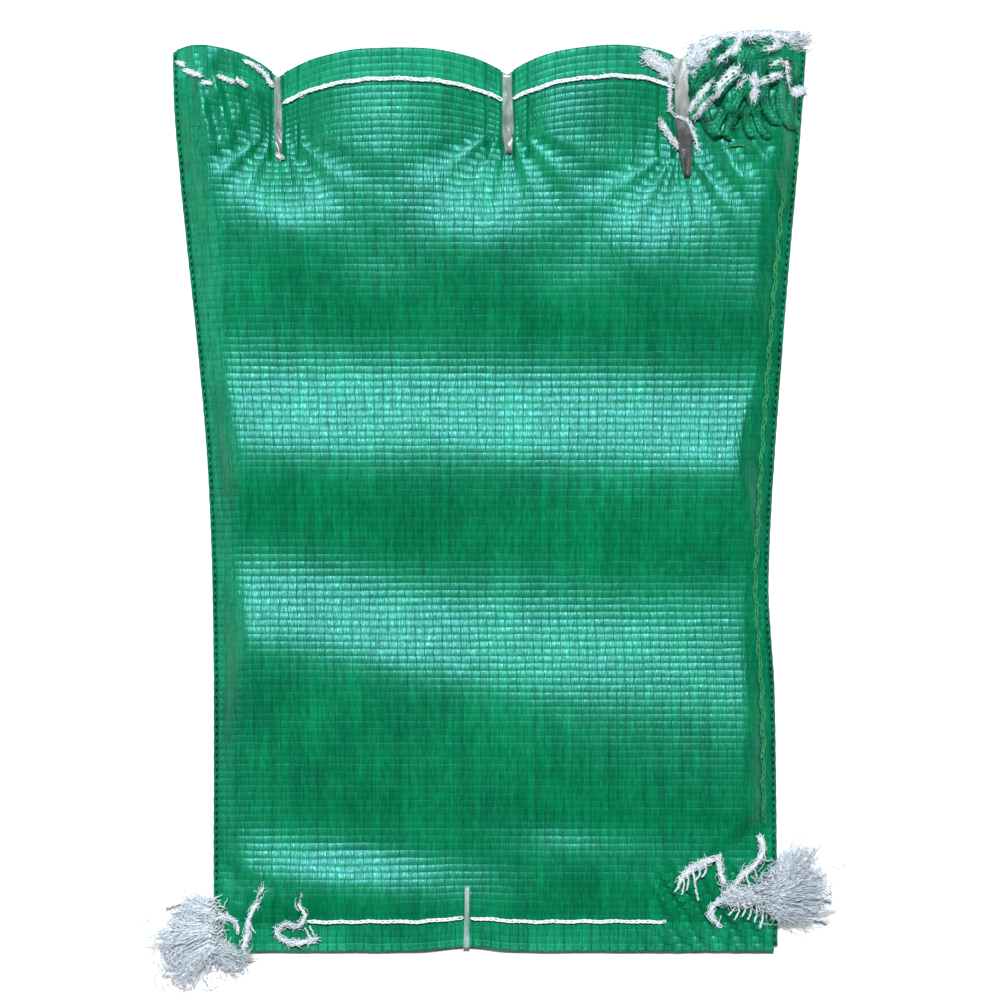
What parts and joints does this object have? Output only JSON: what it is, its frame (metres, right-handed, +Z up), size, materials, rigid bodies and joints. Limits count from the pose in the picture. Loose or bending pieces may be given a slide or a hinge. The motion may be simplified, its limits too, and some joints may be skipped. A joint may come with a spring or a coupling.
{
  "type": "mesh produce bag",
  "caption": "Empty woven mesh produce bag lying flat, with sewn seams, a scalloped mouth held by film straps, and loose thread tails.",
  "frame": {"origin": "middle of the underside of the bag's outline, on the surface that the bag lies on", "axes": "+X to the right across the bag, +Y along the bag towards its mouth, +Z up through the front"},
  "size_m": [0.4457, 0.6335, 0.0221],
  "materials": {
    "mesh": "glossy green woven polyethylene tape mesh",
    "hem": "the same mesh, turned in",
    "thread": "matte white chain-stitch thread",
    "film": "translucent crinkled film strap"
  },
  "bodies": {
    "bag": {"front_panel": "mesh", "back_panel": "mesh", "left_fold": "mesh", "right_fold": "mesh", "bottom_fold": "mesh", "lobe_left_corner": "mesh", "lobe_right_corner": "mesh", "gather_left": "mesh", "gather_middle": "mesh", "gather_right": "mesh", "corner_gather": "mesh", "loose_end_upper": "mesh", "loose_end_lower": "mesh", "bottom_turn_in": "hem", "hem_back": "hem", "hem_left_corner": "hem", "hem_right_corner": "hem", "seam_left_corner": "thread", "seam_right_corner": "thread", "seam_back": "thread", "seam_bottom": "thread", "seam_side": "thread", "tail_left_outer": "thread", "tail_left_middle": "thread", "tail_left_inner": "thread", "tail_right_inner": "thread", "tail_right_upper": "thread", "tail_right_lower": "thread", "tuft_left_upper": "thread", "tuft_left_middle": "thread", "tuft_left_lower": "thread", "tuft_right_upper": "thread", "tuft_right_middle": "thread", "tuft_right_lower": "thread", "fluff_mouth_left": "thread", "fluff_mouth_right": "thread", "strap_left": "film", "strap_middle": "film", "strap_right": "film", "strap_bottom": "film"},
    "left_middle_lobe": {"lobe_left_middle": "mesh", "hem_left_middle": "hem", "seam_left_middle": "thread"},
    "right_middle_lobe": {"lobe_right_middle": "mesh", "hem_right_middle": "hem", "seam_right_middle": "thread"}
  },
  "joints": [
    {"name": "left_middle_lobe_lift", "type": "hinge", "parent": "bag", "child": "left_middle_lobe", "pos_m": [-0.06445, 0.2243, 0.0136], "axis": [1, 0, 0], "range_deg": [0, 25]},
    {"name": "right_middle_lobe_lift", "type": "hinge", "parent": "bag", "child": "right_middle_lobe", "pos_m": [0.0691, 0.2243, 0.0136], "axis": [1, 0, 0], "range_deg": [0, 25]}
  ]
}
